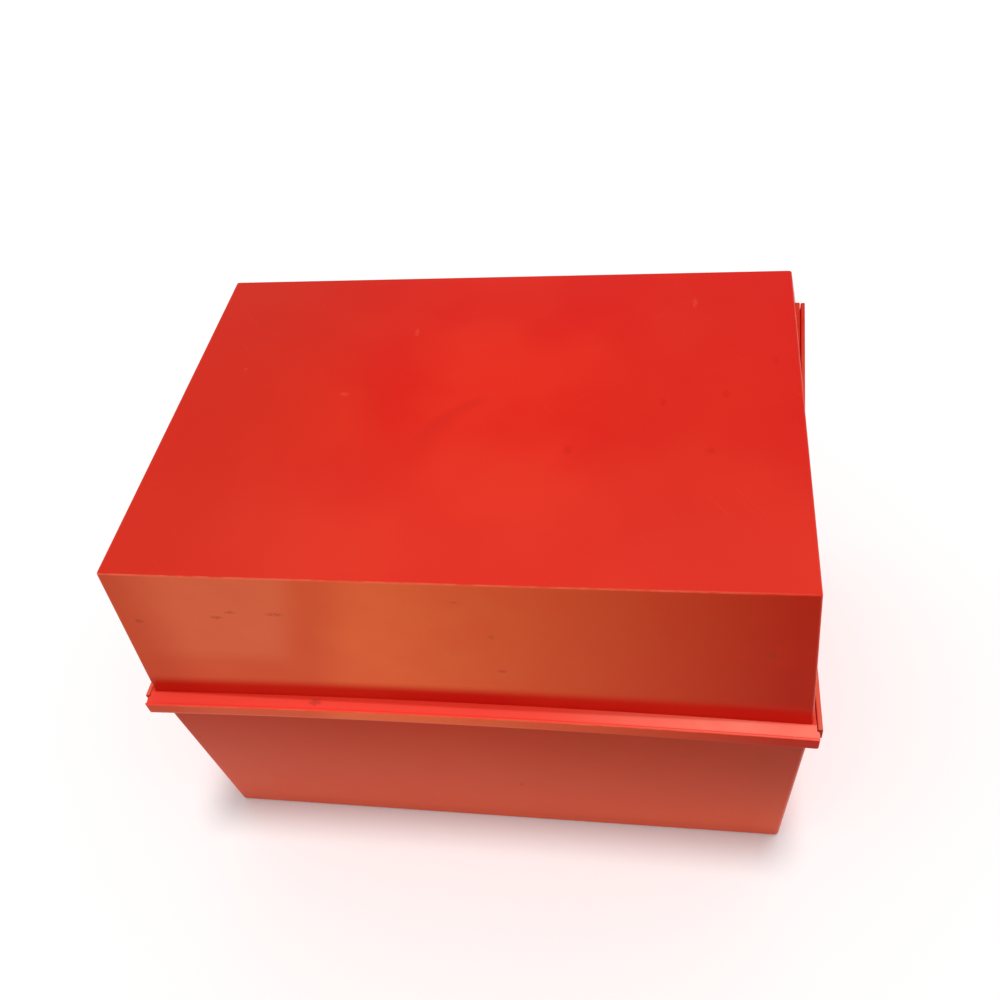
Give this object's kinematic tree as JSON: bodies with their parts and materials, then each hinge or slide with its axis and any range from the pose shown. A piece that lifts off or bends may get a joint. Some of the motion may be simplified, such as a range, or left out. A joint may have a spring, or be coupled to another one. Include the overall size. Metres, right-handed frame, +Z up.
{
  "type": "recipe box",
  "caption": "Hinged moulded plastic card box: sloping side seam, finger lip along the front of a deep lid, pin hinges at the back.",
  "frame": {"origin": "middle of the flat underside of the base, on the surface that the box stands on", "axes": "+X across the box to the right as seen from the front, -Y towards the front lip, +Z up"},
  "size_m": [0.1418, 0.1046, 0.0942],
  "materials": {
    "red_plastic": "moulded gloss, lightly worn",
    "pin_steel": "drawn wire"
  },
  "bodies": {
    "base": {"base": "red_plastic", "hinge_pin_left": "pin_steel", "hinge_pin_right": "pin_steel"},
    "lid": {"lid": "red_plastic"}
  },
  "joints": [
    {"name": "lid_hinge", "type": "hinge", "parent": "base", "child": "lid", "pos_m": [0, 0.0499, 0.08299], "axis": [-1, 0, 0], "range_deg": [0, 105]}
  ]
}
